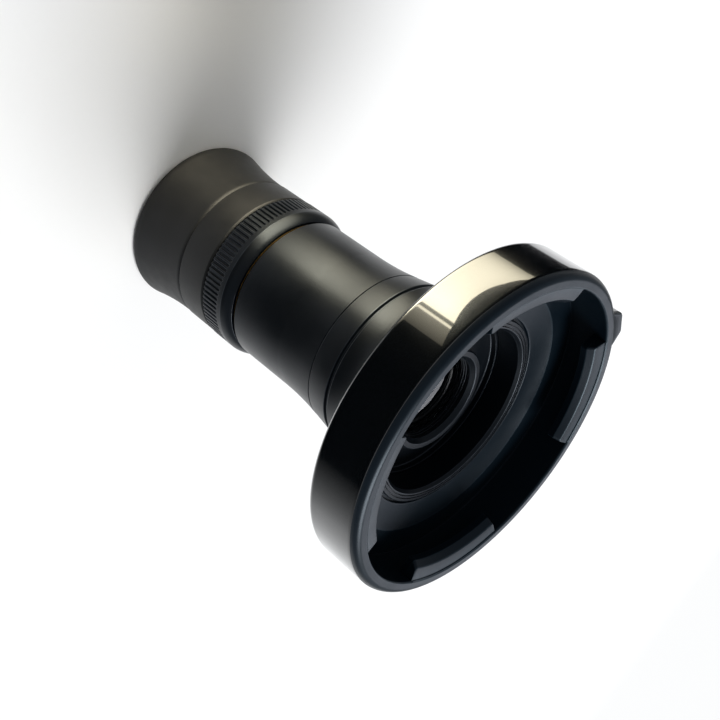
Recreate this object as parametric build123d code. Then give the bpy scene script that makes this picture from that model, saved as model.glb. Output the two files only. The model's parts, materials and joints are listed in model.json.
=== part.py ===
"""Loupe eyepiece with a bayonet mount and a knurled dioptre ring.

The eyepiece stands on its rubber eyecup with the bayonet opening up. The origin is the centre of the
eyecup's end face, +Z is the optical axis towards the opening, and +X points through the ear on the rim.
Sizes are millimetres. Turning the knurled ring drives the keyed eye cell, collar and eyecup out along -Z.
"""
from build123d import *
import math
import os

# Clearances, and how far a cutting shape reaches past what it cuts
SEAT_GAP = 0.05
RUNNING_GAP = 0.05
LENS_GAP = 0.01
SEAM_BEVEL = 0.12
CUT_MARGIN = 1.0

# Lengths along the axis, from the eyecup's end face up to the rim
EYECUP_LENGTH = 15.0
COLLAR_LENGTH = 7.9
COLLAR_GAP = 0.25
RING_LENGTH = 8.15
GROOVE_WIDTH = 0.8
TUBE_LENGTH = 24.1
NECK_LENGTH = 19.7
NECK_FLANGE_EDGE = 0.9
FLOOR_THICKNESS = 3.2
CAVITY_DEPTH = 9.0

COLLAR_REAR = EYECUP_LENGTH
COLLAR_FRONT = COLLAR_REAR + COLLAR_LENGTH
RING_REAR = COLLAR_FRONT + COLLAR_GAP
RING_FRONT = RING_REAR + RING_LENGTH
TUBE_SHOULDER = RING_FRONT + GROOVE_WIDTH
NECK_SEAM = TUBE_SHOULDER + TUBE_LENGTH
NECK_FLANGE_FOOT = NECK_SEAM + NECK_LENGTH
DRUM_BACK = NECK_FLANGE_FOOT + NECK_FLANGE_EDGE
FLOOR_HEIGHT = DRUM_BACK + FLOOR_THICKNESS
RIM_TOP = FLOOR_HEIGHT + CAVITY_DEPTH

# Walls from the eye lenses out to the knurled ring
EYE_LENS_RADIUS = 11.0
CELL_WALL = 1.55
BARREL_WALL = 1.35
SLEEVE_WALL = 1.15
RING_WALL = 1.85

EYE_SEAT = EYE_LENS_RADIUS + SEAT_GAP
CELL_SLIDE_RADIUS = EYE_SEAT + CELL_WALL
BARREL_BORE = CELL_SLIDE_RADIUS + RUNNING_GAP
BARREL_RADIUS = BARREL_BORE + BARREL_WALL
SLEEVE_BORE = BARREL_RADIUS + RUNNING_GAP
RING_BORE = SLEEVE_BORE + SLEEVE_WALL
RING_RADIUS = RING_BORE + RING_WALL

# Collar, screwed to the eye cell, with the spigot that carries the eyecup
COLLAR_STEP = 0.1
COLLAR_BEVEL = 0.35
COLLAR_SLEEVE_GAP = 0.4
CELL_SCREW_HEIGHT = 0.3
CELL_SCREW_RISE = 1.6
SPIGOT_LENGTH = 5.5
SPIGOT_WALL = 1.2
BEAD_OFFSET = 0.7
BEAD_WIDTH = 1.4
BEAD_HEIGHT = 0.35

COLLAR_RADIUS = RING_RADIUS - COLLAR_STEP
COLLAR_SLEEVE = BARREL_RADIUS + COLLAR_SLEEVE_GAP
CELL_SCREW = BARREL_RADIUS + CELL_SCREW_HEIGHT
CELL_SCREW_FRONT = COLLAR_REAR + CELL_SCREW_RISE
COLLAR_SCREW = CELL_SCREW + SEAT_GAP
SPIGOT_RADIUS = COLLAR_SCREW + SPIGOT_WALL
SPIGOT_REAR = COLLAR_REAR - SPIGOT_LENGTH
BEAD_REAR = SPIGOT_REAR + BEAD_OFFSET
BEAD_FRONT = BEAD_REAR + BEAD_WIDTH

# Rubber eyecup
CUP_SEAM_STEP = 0.1
CUP_FLARE = 1.5
CUP_FLARE_BOW = 0.39
CUP_WALL = 2.15
CUP_OUTER_ROUNDING = 0.9
CUP_INNER_ROUNDING = 0.35
CUP_INNER_SLOPE = 0.25
CUP_INNER_BOW = 0.17
CUP_LIP_REACH = 2.15
CUP_LIP_THICKNESS = 0.8
CUP_HOLLOW_NARROWING = 1.25

CUP_SEAM_RADIUS = COLLAR_RADIUS - CUP_SEAM_STEP
CUP_FLARE_RADIUS = CUP_SEAM_RADIUS + CUP_FLARE
CUP_HOLLOW_RIM = CUP_FLARE_RADIUS - CUP_WALL
CUP_HOLLOW_TOP = SPIGOT_RADIUS - CUP_HOLLOW_NARROWING
CUP_LIP_RADIUS = SPIGOT_RADIUS - CUP_LIP_REACH

# Eye cell
CELL_LENGTH = 35.0
CELL_REAR_DROP = 0.5
CELL_REAR_LENGTH = 2.0
CELL_REAR_STEP = 0.4
EYE_STOP_STEP = 0.8
EYE_STOP_DEPTH = 8.95
SLIDE_SEAL_DEPTH = 4.0
SLIDE_SEAL_CORD = 0.5

CELL_REAR = SPIGOT_REAR - CELL_REAR_DROP
CELL_FRONT = CELL_REAR + CELL_LENGTH
CELL_REAR_RADIUS = CELL_SLIDE_RADIUS + CELL_REAR_STEP
CELL_SCREW_REAR = CELL_REAR + CELL_REAR_LENGTH
EYE_STOP = EYE_LENS_RADIUS - EYE_STOP_STEP
EYE_STOP_HEIGHT = CELL_FRONT - EYE_STOP_DEPTH
SLIDE_SEAL_HEIGHT = CELL_FRONT - SLIDE_SEAL_DEPTH

# Lenses of the eye cell, each face by the radius of its sphere
FIELD_THICKNESS = 4.8
FIELD_CURVE = 24.0
EYE_SPACE = 10.8
EYE_CROWN_THICKNESS = 6.5
EYE_TOP_CURVE = 26.0
EYE_CEMENT_CURVE = 28.0
EYE_FLINT_THICKNESS = 2.0
EYE_BACK_CURVE = 60.0
EYE_RETAINER_WALL = 1.0

FIELD_TOP = EYE_STOP_HEIGHT - LENS_GAP
FIELD_VERTEX = FIELD_TOP - FIELD_THICKNESS
EYE_TOP_VERTEX = FIELD_VERTEX - EYE_SPACE
EYE_CEMENT_VERTEX = EYE_TOP_VERTEX - EYE_CROWN_THICKNESS
EYE_BACK_VERTEX = EYE_CEMENT_VERTEX - EYE_FLINT_THICKNESS
EYE_RETAINER_BORE = EYE_LENS_RADIUS - EYE_RETAINER_WALL

# Knurled dioptre ring
RING_EDGE = 0.25
RING_NOSE_LENGTH = 2.3
RING_NOSE_STEP = 1.25
RING_NOSE_BOW = 0.26
RING_POCKET_STEP = 0.7
KNURL_COUNT = 96
KNURL_DEPTH = 0.42
KNURL_LAND = 1.7
KNURL_RUNOUT = 0.8
KNURL_TOP_WIDTH = 0.78
KNURL_FLOOR_WIDTH = 0.36
KNURL_RISE = 0.1

RING_NOSE_RADIUS = RING_RADIUS - RING_NOSE_STEP
RING_LAND_END = RING_FRONT - RING_NOSE_LENGTH
RING_POCKET = RING_BORE + RING_POCKET_STEP
KNURL_END = RING_LAND_END - KNURL_LAND

# Snap ring behind the dioptre ring, and washer in the groove before it
CIRCLIP_INSET = 0.3
CIRCLIP_THICKNESS = 0.7
CIRCLIP_DEPTH = 0.5
CIRCLIP_HEIGHT = 1.6
CIRCLIP_OPENING = 24.0
SLEEVE_INSET = 0.25
WASHER_WIDTH = 1.0

CIRCLIP_REAR = RING_REAR + CIRCLIP_INSET
CIRCLIP_FRONT = CIRCLIP_REAR + CIRCLIP_THICKNESS
CIRCLIP_SEAT = BARREL_RADIUS - CIRCLIP_DEPTH
CIRCLIP_RADIUS = BARREL_RADIUS + CIRCLIP_HEIGHT
SLEEVE_REAR = CIRCLIP_FRONT + SLEEVE_INSET

# Drive pins, and the slots that turn the ring's turn into travel
SLOT_PITCH = 6.0
DIOPTRE_TURN = 216.0
PIN_COUNT = 2
PIN_ANGLE = 90.0
PIN_INSET = 1.8
PIN_RADIUS = 0.75
PIN_FOOT_GAP = 0.35
PIN_TIP_GAP = 0.2

DIOPTRE_TRAVEL = SLOT_PITCH * DIOPTRE_TURN / 360.0
PIN_HEIGHT = RING_FRONT - PIN_INSET
PIN_FOOT = EYE_SEAT + PIN_FOOT_GAP
PIN_TIP = RING_BORE - PIN_TIP_GAP
SLOT_WIDTH = 2 * (PIN_RADIUS + RUNNING_GAP)

# Main tube with the inner barrel that the eye cell slides in
TUBE_STEP = 1.05
WAIST_LENGTH = 13.9
TUBE_BOW = 0.19
TUBE_SHOULDER_BEVEL = 0.3
TUBE_BORE_STEP = 0.55
TUBE_SPIGOT_WALL = 1.8
BARREL_REAR_GAP = 0.7
SPIGOT_END_GAP = 0.2
STOP_CLEARANCE = 2.8
STOP_THICKNESS = 0.8
STOP_APERTURE = 8.0
STOP_LAND = 0.2
STOP_SLOPE = 1.0
BAFFLE_WALL = 0.8
BAFFLE_GAP = 0.5

TUBE_WAIST = RING_RADIUS - TUBE_STEP
WAIST_TOP = TUBE_SHOULDER + WAIST_LENGTH
BARREL_REAR = CELL_SCREW_FRONT + BARREL_REAR_GAP
TUBE_BORE = BARREL_BORE + TUBE_BORE_STEP
TUBE_SPIGOT = TUBE_BORE + TUBE_SPIGOT_WALL
STOP_SHOULDER = CELL_FRONT + STOP_CLEARANCE
STOP_FRONT = STOP_SHOULDER + STOP_THICKNESS

# Lock ring that clamps the drum to the neck
PLATE_THICKNESS = 1.4
PLATE_HOLE_GAP = 0.1
LOCK_BORE = 17.9
LOCK_WALL = 1.2
LOCK_LENGTH = 5.7
LOCK_FLANGE_REACH = 1.2
LOCK_FLANGE_THICKNESS = 1.1
LOCK_EDGE = 0.2
LOCK_MOUTH_WIDTH = 0.55
LOCK_MOUTH_DEPTH = 0.65
LOCK_GROOVE_OFFSETS = (1.6, 0.95)
LOCK_GROOVE_WIDTH = 0.22
LOCK_GROOVE_DEPTH = 0.3
LOCK_END_GAP = 0.2

LOCK_SKIRT = LOCK_BORE + LOCK_WALL
LOCK_FLANGE = LOCK_SKIRT + LOCK_FLANGE_REACH
LOCK_SEAT = DRUM_BACK + PLATE_THICKNESS
LOCK_TOP = LOCK_SEAT + LOCK_FLANGE_THICKNESS
LOCK_SKIRT_END = LOCK_TOP - LOCK_LENGTH
PLATE_HOLE = LOCK_SKIRT + PLATE_HOLE_GAP

# Flared neck
NECK_SEAM_STEP = 0.85
NECK_STRIPE_RISE = 5.9
NECK_STRIPE_SWELL = 0.9
NECK_STRIPE_WIDTH = 1.1
NECK_STRIPE_DEPTH = 0.45
NECK_STRIPE_SLOPE = 0.35
NECK_STRIPE_STEP = 0.2
NECK_BOW = 1.55
NECK_FLANGE = 24.0
NECK_SOCKET_DEPTH = 6.2
WELL_STEP = 0.55
WELL_DEPTH = 7.9
WEB_THICKNESS = 3.5

NECK_SEAM_RADIUS = TUBE_WAIST + NECK_SEAM_STEP
NECK_STRIPE = NECK_SEAM + NECK_STRIPE_RISE
NECK_STRIPE_RADIUS = NECK_SEAM_RADIUS + NECK_STRIPE_SWELL
NECK_SOCKET = TUBE_SPIGOT + SEAT_GAP
NECK_SOCKET_END = NECK_SEAM + NECK_SOCKET_DEPTH
NECK_THREAD = LOCK_SKIRT + SEAT_GAP
NECK_THREAD_END = LOCK_SKIRT_END - LOCK_END_GAP
WELL_RADIUS = LOCK_BORE - WELL_STEP
WELL_FLOOR = FLOOR_HEIGHT - WELL_DEPTH
WEB_BACK = WELL_FLOOR - WEB_THICKNESS
TUBE_SPIGOT_TOP = NECK_SOCKET_END - SPIGOT_END_GAP

# Front cell, whose nose stands up from the floor of the well
FRONT_LENS_STEP = 0.8
NOSE_WALL = 0.95
NOSE_HEIGHT = 2.9
NOSE_EDGE = 0.3
NOSE_FACE = 1.0
NOSE_LIP_STEP = 1.1
NOSE_LIP_DROP = 0.9
NOSE_RIBS = 3
NOSE_RIB_START = 0.5
NOSE_RIB_PITCH = 0.6
NOSE_RIB_WIDTH = 0.48
NOSE_RIB_SLOPE = 0.12
NOSE_RIB_DEPTH = 0.3
FRONT_STOP_STEP = 0.8
FRONT_STOP_DROP = 3.3
FRONT_STOP_SLOPE = 0.3
CELL_FLANGE_REACH = 2.3
CELL_FLANGE_THICKNESS = 2.2
CELL_FLANGE_GAP = 0.1
CELL_BACK_LENGTH = 5.9
CELL_BACK_GAP = 0.3
FRONT_SEAL_DEPTH = 1.0
FRONT_SEAL_CORD = 0.45

FRONT_LENS_RADIUS = EYE_LENS_RADIUS - FRONT_LENS_STEP
FRONT_SEAT = FRONT_LENS_RADIUS + SEAT_GAP
NOSE_RADIUS = FRONT_SEAT + NOSE_WALL
NOSE_TOP = WELL_FLOOR + NOSE_HEIGHT
NOSE_LIP_RADIUS = FRONT_LENS_RADIUS - NOSE_LIP_STEP
NOSE_LIP_TOP = NOSE_TOP - NOSE_LIP_DROP
WEB_HOLE = NOSE_RADIUS + SEAT_GAP
FRONT_STOP_RADIUS = FRONT_LENS_RADIUS - FRONT_STOP_STEP
FRONT_STOP_HEIGHT = NOSE_TOP - FRONT_STOP_DROP
CELL_FLANGE = NOSE_RADIUS + CELL_FLANGE_REACH
CELL_FLANGE_BACK = WEB_BACK - CELL_FLANGE_THICKNESS
CELL_BACK_RADIUS = TUBE_BORE - CELL_BACK_GAP
CELL_BACK = CELL_FLANGE_BACK - CELL_BACK_LENGTH
NECK_CAVITY = CELL_FLANGE + CELL_FLANGE_GAP
FRONT_SEAL_HEIGHT = WEB_BACK - FRONT_SEAL_DEPTH
BAFFLE_TOP = CELL_BACK - BAFFLE_GAP

# Front doublet and the threaded rings that hold lenses
FRONT_CURVE = 30.0
FRONT_CROWN_THICKNESS = 6.6
FRONT_CEMENT_CURVE = 26.0
FRONT_FLINT_THICKNESS = 2.2
FRONT_BACK_CURVE = 80.0
FRONT_RETAINER_WALL = 1.2
RETAINER_HEIGHT = 2.0
SPANNER_SLOT = 1.2
SPANNER_DEPTH = 0.8

# Bayonet drum at the wide end
DRUM_RADIUS = 35.0
DRUM_WALL = 3.0
DRUM_BACK_ROUNDING = 1.2
RIM_ROUND_WIDTH = 1.5
RIM_ROUND_HEIGHT = 2.0
RIM_BOW = 0.47
RIM_BEVEL = 0.25
DISH_RADIUS = 26.5
DISH_DEPTH = 1.1
DISH_BOW = 0.18
LOCK_GAP = 0.6
REGISTER_DEPTH = 0.4

CAVITY_RADIUS = DRUM_RADIUS - DRUM_WALL
RIM_OUTER = DRUM_RADIUS - RIM_ROUND_WIDTH
DRUM_EDGE = RIM_TOP - RIM_ROUND_HEIGHT
DISH_FOOT = FLOOR_HEIGHT - DISH_DEPTH
DISH_INNER = LOCK_FLANGE + LOCK_GAP
REGISTER_RADIUS = NECK_FLANGE + SEAT_GAP
REGISTER_FACE = DRUM_BACK + REGISTER_DEPTH

# Four inward bayonet tabs
TAB_COUNT = 4
TAB_CENTRE = -26.0
TAB_WIDTH = 47.0
TAB_REACH = 3.7
TAB_ROOM = 5.6
TAB_TIP_THICKNESS = 1.4
TAB_SLOPE_WIDTH = 1.1
TAB_SLOPE_HEIGHT = 1.3
TAB_ROOT_DROP = 0.2
TAB_CORNER = 0.6
TAB_SINK = 0.6

TAB_INNER = CAVITY_RADIUS - TAB_REACH
TAB_BACK = FLOOR_HEIGHT + TAB_ROOM
TAB_TIP_TOP = TAB_BACK + TAB_TIP_THICKNESS
TAB_ROOT_TOP = RIM_TOP - TAB_ROOT_DROP

# Index ear on the rim
EAR_REACH = 2.2
EAR_THICKNESS = 3.4
EAR_DROP = 0.4
EAR_ROOT_HALF_ANGLE = 8.5
EAR_TIP_HALF_ANGLE = 4.0
EAR_SINK = 0.6
EAR_CORNER = 0.7
EAR_EDGE = 0.3

EAR_TIP = DRUM_RADIUS + EAR_REACH
EAR_TOP = RIM_TOP - EAR_DROP
EAR_BACK = EAR_TOP - EAR_THICKNESS


def turned(start, *steps):
    """Turns a half section about Z.

    A step is (radius, height) for a line, or (radius, height, bow) for an arc that stands off its chord
    by bow, to the right of the way it is drawn. Sections run round anticlockwise, so right is outwards.
    """
    edges = []
    here = start
    for step in steps:
        there = step[:2]
        bow = step[2] if len(step) == 3 else 0.0
        if bow:
            across = there[0] - here[0]
            along = there[1] - here[1]
            chord = math.hypot(across, along)
            middle = ((here[0] + there[0]) / 2, (here[1] + there[1]) / 2)
            via = (middle[0] + bow * along / chord, middle[1] - bow * across / chord)
            edges.append(ThreePointArc(here, via, there))
        else:
            edges.append(Line(here, there))
        here = there
    edges.append(Line(here, start))
    section = Plane.XZ * make_face(edges)
    return revolve(section, Axis.Z)


def tube(outer, inner, bottom, top):
    """A plain tube about Z."""
    return turned((inner, bottom), (outer, bottom), (outer, top), (inner, top))


def quarter_bow(radius):
    """The bow of a quarter circle."""
    return radius * (1 - math.sqrt(0.5))


def polar(radius, angle):
    """The flat point at a radius and an angle in degrees about Z."""
    turn = math.radians(angle)
    return (radius * math.cos(turn), radius * math.sin(turn))


def sector(centre, width, radius, bottom, top):
    """A pie slice about Z, used to cut a stretch out of a turned ring."""
    half = width / 2
    reach = radius / math.cos(math.radians(half / 2))
    corners = [(0, 0)]
    for angle in (-half, -half / 2, 0, half / 2, half):
        corners.append(polar(reach, centre + angle))
    pie = make_face(Polyline(*corners, close=True))
    return extrude(Pos(0, 0, bottom) * pie, top - bottom)


def sag(curve, radius):
    """How far a lens face falls back from its vertex at a radius: hollow faces below 0, flat faces 0."""
    if curve == 0:
        return 0.0
    return math.copysign(abs(curve) - math.sqrt(curve ** 2 - radius ** 2), curve)


def lens(radius, rear, front):
    """A round lens. Each face is (vertex height, curve), bulging above 0, hollow below 0 and flat at 0."""
    rear_vertex, rear_curve = rear
    front_vertex, front_curve = front
    rear_sag = sag(rear_curve, radius)
    front_sag = sag(front_curve, radius)
    rear_bow = sag(rear_curve, math.hypot(radius, rear_sag) / 2)
    front_bow = sag(front_curve, math.hypot(radius, front_sag) / 2)
    return turned(
        (0.0, rear_vertex),
        (radius, rear_vertex + rear_sag, rear_bow),
        (radius, front_vertex - front_sag),
        (0.0, front_vertex, front_bow),
    )


def retaining_ring(outer, inner, top):
    """A threaded ring that holds a lens, with two spanner slots in its rear end."""
    bottom = top - RETAINER_HEIGHT
    slot = Pos(0, 0, bottom) * Box(2 * (outer + CUT_MARGIN), SPANNER_SLOT, 2 * SPANNER_DEPTH)
    return tube(outer, inner, bottom, top) - slot


def pin_shape(number):
    """The radial cylinder of one drive pin."""
    angle = PIN_ANGLE + number * 360.0 / PIN_COUNT
    middle = (PIN_FOOT + PIN_TIP) / 2
    rod = Pos(middle, 0, PIN_HEIGHT) * Rot(0, 90, 0) * Cylinder(PIN_RADIUS, PIN_TIP - PIN_FOOT)
    return Rot(0, 0, angle) * rod


def upright_edges(solid):
    """The edges that run parallel to Z."""
    return solid.edges().filter_by(Axis.Z)


def eyecup():
    """The flared rubber eyecup, hollow behind its lip and stretched over the spigot."""
    outer = CUP_OUTER_ROUNDING
    return turned(
        (CUP_FLARE_RADIUS - outer, 0.0),
        (CUP_FLARE_RADIUS, outer, quarter_bow(outer)),
        (CUP_SEAM_RADIUS, COLLAR_REAR - SEAM_BEVEL, -CUP_FLARE_BOW),
        (CUP_SEAM_RADIUS - SEAM_BEVEL, COLLAR_REAR),
        (SPIGOT_RADIUS, COLLAR_REAR),
        (SPIGOT_RADIUS, BEAD_FRONT),
        (SPIGOT_RADIUS, BEAD_REAR, -BEAD_HEIGHT),
        (SPIGOT_RADIUS, SPIGOT_REAR),
        (CUP_LIP_RADIUS, SPIGOT_REAR),
        (CUP_LIP_RADIUS, SPIGOT_REAR - CUP_LIP_THICKNESS),
        (CUP_HOLLOW_TOP, SPIGOT_REAR - CUP_LIP_THICKNESS),
        (CUP_HOLLOW_RIM - CUP_INNER_SLOPE, outer),
        (CUP_HOLLOW_RIM + CUP_INNER_ROUNDING, 0.0, CUP_INNER_BOW),
    )


def eye_collar():
    """The smooth collar behind the dioptre ring, with the beaded spigot that carries the eyecup."""
    return turned(
        (COLLAR_SCREW, SPIGOT_REAR),
        (SPIGOT_RADIUS, SPIGOT_REAR),
        (SPIGOT_RADIUS, BEAD_REAR),
        (SPIGOT_RADIUS, BEAD_FRONT, BEAD_HEIGHT),
        (SPIGOT_RADIUS, COLLAR_REAR),
        (COLLAR_RADIUS - SEAM_BEVEL, COLLAR_REAR),
        (COLLAR_RADIUS, COLLAR_REAR + SEAM_BEVEL),
        (COLLAR_RADIUS, COLLAR_FRONT - COLLAR_BEVEL),
        (COLLAR_RADIUS - COLLAR_BEVEL, COLLAR_FRONT),
        (COLLAR_SLEEVE, COLLAR_FRONT),
        (COLLAR_SLEEVE, CELL_SCREW_FRONT),
        (COLLAR_SCREW, CELL_SCREW_FRONT),
    )


def eye_cell():
    """The sliding lens cell, screwed into the collar at its rear end and drilled for the pins."""
    seal_rear = SLIDE_SEAL_HEIGHT - SLIDE_SEAL_CORD
    seal_front = SLIDE_SEAL_HEIGHT + SLIDE_SEAL_CORD
    seal_floor = CELL_SLIDE_RADIUS - 2 * SLIDE_SEAL_CORD
    cell = turned(
        (EYE_SEAT, CELL_REAR),
        (CELL_REAR_RADIUS, CELL_REAR),
        (CELL_REAR_RADIUS, CELL_SCREW_REAR),
        (CELL_SCREW, CELL_SCREW_REAR),
        (CELL_SCREW, CELL_SCREW_FRONT),
        (CELL_SLIDE_RADIUS, CELL_SCREW_FRONT),
        (CELL_SLIDE_RADIUS, seal_rear),
        (seal_floor, seal_rear),
        (seal_floor, seal_front),
        (CELL_SLIDE_RADIUS, seal_front),
        (CELL_SLIDE_RADIUS, CELL_FRONT),
        (EYE_STOP, CELL_FRONT),
        (EYE_STOP, EYE_STOP_HEIGHT),
        (EYE_SEAT, EYE_STOP_HEIGHT),
    )
    for number in range(PIN_COUNT):
        cell -= pin_shape(number)
    return cell


def field_lens():
    """The plano-convex lens at the front of the eye cell."""
    return lens(EYE_LENS_RADIUS, (FIELD_VERTEX, FIELD_CURVE), (FIELD_TOP, 0))


def lens_spacer():
    """The tube that keeps the field lens and the eye doublet apart."""
    rear = EYE_TOP_VERTEX - sag(EYE_TOP_CURVE, EYE_STOP) + LENS_GAP
    front = FIELD_VERTEX + sag(FIELD_CURVE, EYE_STOP) - LENS_GAP
    return tube(EYE_LENS_RADIUS, EYE_STOP, rear, front)


def eye_crown():
    """The strong lens of the eye doublet."""
    return lens(EYE_LENS_RADIUS, (EYE_CEMENT_VERTEX, EYE_CEMENT_CURVE), (EYE_TOP_VERTEX, EYE_TOP_CURVE))


def eye_flint():
    """The weaker lens nearest the eye, cemented to the eye crown."""
    return lens(EYE_LENS_RADIUS, (EYE_BACK_VERTEX, EYE_BACK_CURVE), (EYE_CEMENT_VERTEX, -EYE_CEMENT_CURVE))


def eye_retainer():
    """The threaded ring behind the eye doublet."""
    top = EYE_BACK_VERTEX + sag(EYE_BACK_CURVE, EYE_RETAINER_BORE) - LENS_GAP
    return retaining_ring(EYE_LENS_RADIUS, EYE_RETAINER_BORE, top)


def slide_seal():
    """The rubber ring that seals the sliding eye cell."""
    return Pos(0, 0, SLIDE_SEAL_HEIGHT) * Torus(CELL_SLIDE_RADIUS - SLIDE_SEAL_CORD, SLIDE_SEAL_CORD)


def knurl_groove():
    """One straight groove with sloping walls that runs out into the smooth land."""
    floor = RING_RADIUS - KNURL_DEPTH
    crest = RING_RADIUS + KNURL_RISE
    start = RING_REAR - CUT_MARGIN
    run = [(floor, start), (crest, start), (crest, KNURL_END + KNURL_RUNOUT), (floor, KNURL_END)]
    along = extrude(Plane.XZ * make_face(Polyline(*run, close=True)), KNURL_TOP_WIDTH, both=True)
    wide = KNURL_TOP_WIDTH / 2
    narrow = KNURL_FLOOR_WIDTH / 2
    mouth = [(floor, -narrow), (floor, narrow), (crest, wide), (crest, -wide)]
    across = extrude(Pos(0, 0, start) * make_face(Polyline(*mouth, close=True)), RING_FRONT - start)
    return along & across


def dioptre_ring():
    """The knurled ring with its smooth land and rounded shoulder."""
    body = turned(
        (RING_POCKET, RING_REAR),
        (RING_RADIUS - RING_EDGE, RING_REAR),
        (RING_RADIUS, RING_REAR + RING_EDGE),
        (RING_RADIUS, RING_LAND_END),
        (RING_NOSE_RADIUS, RING_FRONT, RING_NOSE_BOW),
        (RING_BORE, RING_FRONT),
        (RING_BORE, SLEEVE_REAR),
        (RING_POCKET, SLEEVE_REAR),
    )
    groove = knurl_groove()
    return body - [Rot(0, 0, number * 360.0 / KNURL_COUNT) * groove for number in range(KNURL_COUNT)]


def cam_sleeve():
    """The sleeve pressed into the ring, with a helical slot for each pin."""
    sleeve = tube(RING_BORE, SLEEVE_BORE, SLEEVE_REAR, RING_FRONT)
    middle = (RING_BORE + SLEEVE_BORE) / 2
    past_pin = math.degrees((SLOT_WIDTH / 2 + RUNNING_GAP) / middle)
    turn = DIOPTRE_TURN + 2 * past_pin
    low = PIN_HEIGHT - SLOT_PITCH * (turn - past_pin) / 360.0
    path = Pos(0, 0, low) * Helix(SLOT_PITCH, SLOT_PITCH * turn / 360.0, middle)
    start = Plane(origin=path @ 0, x_dir=(1, 0, 0), z_dir=path % 0)
    channel = sweep(start * Rectangle(SLEEVE_WALL + 2 * CUT_MARGIN, SLOT_WIDTH), path=path, is_frenet=True)
    for number in range(PIN_COUNT):
        pin_angle = PIN_ANGLE + number * 360.0 / PIN_COUNT
        sleeve -= Rot(0, 0, pin_angle + past_pin - turn) * channel
    return sleeve


def ring_circlip():
    """The snap ring that keeps the dioptre ring on the barrel, open on the +X side."""
    clip = tube(CIRCLIP_RADIUS, CIRCLIP_SEAT, CIRCLIP_REAR, CIRCLIP_FRONT)
    reach = CIRCLIP_RADIUS + CUT_MARGIN
    return clip - sector(0, CIRCLIP_OPENING, reach, CIRCLIP_REAR - CUT_MARGIN, CIRCLIP_FRONT + CUT_MARGIN)


def thrust_washer():
    """The plastic washer at the bottom of the groove between the ring and the tube."""
    return tube(BARREL_RADIUS + WASHER_WIDTH, BARREL_RADIUS, RING_FRONT + RUNNING_GAP, TUBE_SHOULDER)


def axial_slots():
    """The straight slots that keep the pins, and so the eye cell, from turning."""
    slots = []
    low = PIN_HEIGHT - DIOPTRE_TRAVEL
    depth = BARREL_WALL + 2 * CUT_MARGIN
    for number in range(PIN_COUNT):
        angle = PIN_ANGLE + number * 360.0 / PIN_COUNT
        slot = Pos(0, 0, (PIN_HEIGHT + low) / 2) * Box(depth, SLOT_WIDTH, DIOPTRE_TRAVEL)
        for height in (PIN_HEIGHT, low):
            slot += Pos(0, 0, height) * Rot(0, 90, 0) * Cylinder(SLOT_WIDTH / 2, depth)
        slots.append(Rot(0, 0, angle) * Pos((BARREL_RADIUS + BARREL_BORE) / 2, 0, 0) * slot)
    return slots


def main_tube():
    """The outer tube, its spigot into the neck and the slotted inner barrel."""
    body = turned(
        (BARREL_BORE, BARREL_REAR),
        (BARREL_RADIUS, BARREL_REAR),
        (BARREL_RADIUS, CIRCLIP_REAR),
        (CIRCLIP_SEAT, CIRCLIP_REAR),
        (CIRCLIP_SEAT, CIRCLIP_FRONT),
        (BARREL_RADIUS, CIRCLIP_FRONT),
        (BARREL_RADIUS, TUBE_SHOULDER),
        (TUBE_WAIST - TUBE_SHOULDER_BEVEL, TUBE_SHOULDER),
        (TUBE_WAIST, TUBE_SHOULDER + TUBE_SHOULDER_BEVEL),
        (TUBE_WAIST, WAIST_TOP),
        (NECK_SEAM_RADIUS, NECK_SEAM - SEAM_BEVEL, -TUBE_BOW),
        (NECK_SEAM_RADIUS - SEAM_BEVEL, NECK_SEAM),
        (TUBE_SPIGOT, NECK_SEAM),
        (TUBE_SPIGOT, TUBE_SPIGOT_TOP),
        (TUBE_BORE, TUBE_SPIGOT_TOP),
        (TUBE_BORE, STOP_SHOULDER),
        (BARREL_BORE, STOP_SHOULDER),
    )
    return body - axial_slots()


def field_stop():
    """The thin aperture that bounds the field, on the shoulder inside the tube."""
    rim = TUBE_BORE - SEAT_GAP
    return turned(
        (STOP_APERTURE, STOP_SHOULDER),
        (rim, STOP_SHOULDER),
        (rim, STOP_FRONT),
        (STOP_APERTURE + STOP_SLOPE, STOP_FRONT),
        (STOP_APERTURE, STOP_SHOULDER + STOP_LAND),
    )


def baffle_tube():
    """The blackened liner that holds the field stop down."""
    rim = TUBE_BORE - SEAT_GAP
    return tube(rim, rim - BAFFLE_WALL, STOP_FRONT, BAFFLE_TOP)


def front_vertex():
    """The height of the front crown's vertex, where its face meets the edge of the stop in the nose."""
    return FRONT_STOP_HEIGHT + sag(FRONT_CURVE, FRONT_STOP_RADIUS) - LENS_GAP


def front_crown():
    """The convex glass that shows inside the nose."""
    vertex = front_vertex()
    cement = vertex - FRONT_CROWN_THICKNESS
    return lens(FRONT_LENS_RADIUS, (cement, FRONT_CEMENT_CURVE), (vertex, FRONT_CURVE))


def front_flint():
    """The weaker lens cemented behind the front crown."""
    cement = front_vertex() - FRONT_CROWN_THICKNESS
    back = cement - FRONT_FLINT_THICKNESS
    return lens(FRONT_LENS_RADIUS, (back, FRONT_BACK_CURVE), (cement, -FRONT_CEMENT_CURVE))


def front_retainer():
    """The threaded ring behind the front doublet."""
    bore = FRONT_LENS_RADIUS - FRONT_RETAINER_WALL
    back = front_vertex() - FRONT_CROWN_THICKNESS - FRONT_FLINT_THICKNESS
    return retaining_ring(FRONT_LENS_RADIUS, bore, back + sag(FRONT_BACK_CURVE, bore) - LENS_GAP)


def front_seal():
    """The rubber ring that seals the front cell in the neck."""
    return Pos(0, 0, FRONT_SEAL_HEIGHT) * Torus(CELL_FLANGE - FRONT_SEAL_CORD, FRONT_SEAL_CORD)


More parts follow.
